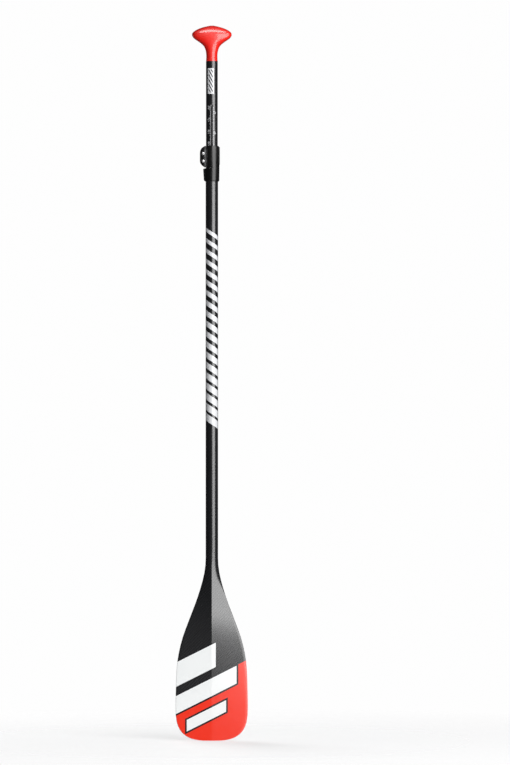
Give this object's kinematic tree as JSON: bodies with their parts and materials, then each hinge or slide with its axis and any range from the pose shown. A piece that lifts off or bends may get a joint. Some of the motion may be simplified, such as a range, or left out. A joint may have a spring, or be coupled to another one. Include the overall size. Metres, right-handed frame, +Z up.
{
  "type": "single_blade_paddle",
  "caption": "Adjustable stand-up paddle with a foam cored carbon blade, a lever clamp on the shaft and a telescopic extension with a red palm grip",
  "frame": {"origin": "on the flat at the blade's tip, midway across it, with the paddle upright", "axes": "+Z up along the shaft from the blade's tip to the grip, X across the blade, -Y out of the blade's front face"},
  "size_m": [0.1798, 0.0973, 1.7834],
  "materials": {
    "painted_blade": "printed and clear coated carbon laminate",
    "satin_carbon": "clear coated carbon fibre laminate",
    "laminate": "cured glass laminate",
    "core_foam": "closed cell foam",
    "grey_plastic": "moulded",
    "black_nylon": "moulded, fine grain",
    "red_grip": "moulded, gloss",
    "seal_rubber": "moulded",
    "stainless_steel": "turned"
  },
  "bodies": {
    "paddle": {"blade_front_skin": "painted_blade", "blade_back_skin": "painted_blade", "blade_core_left": "core_foam", "blade_core_right": "core_foam", "blade_spine": "laminate", "neck_spigot": "grey_plastic", "lower_shaft": "satin_carbon", "shaft_foam_plug": "core_foam", "clamp_body": "black_nylon", "lever_pivot_pin": "stainless_steel", "tension_screw_upper": "stainless_steel", "tension_screw_lower": "stainless_steel", "screw_washer_upper": "stainless_steel", "screw_washer_lower": "stainless_steel", "guide_key": "grey_plastic"},
    "extension": {"extension_tube": "satin_carbon", "extension_end_plug": "black_nylon", "end_plug_seal_ring": "seal_rubber", "grip_spigot": "grey_plastic", "palm_grip": "red_grip"},
    "lever": {"clamp_lever": "black_nylon"}
  },
  "joints": [
    {"name": "extension_slide", "type": "slide", "parent": "paddle", "child": "extension", "axis": [0, 0, 1], "range_m": [-0.085, 0.315]},
    {"name": "lever_hinge", "type": "hinge", "parent": "paddle", "child": "lever", "pos_m": [-0.0215, 0.08634, 1.4537], "axis": [0, 0, 1], "range_deg": [0, 120]}
  ]
}
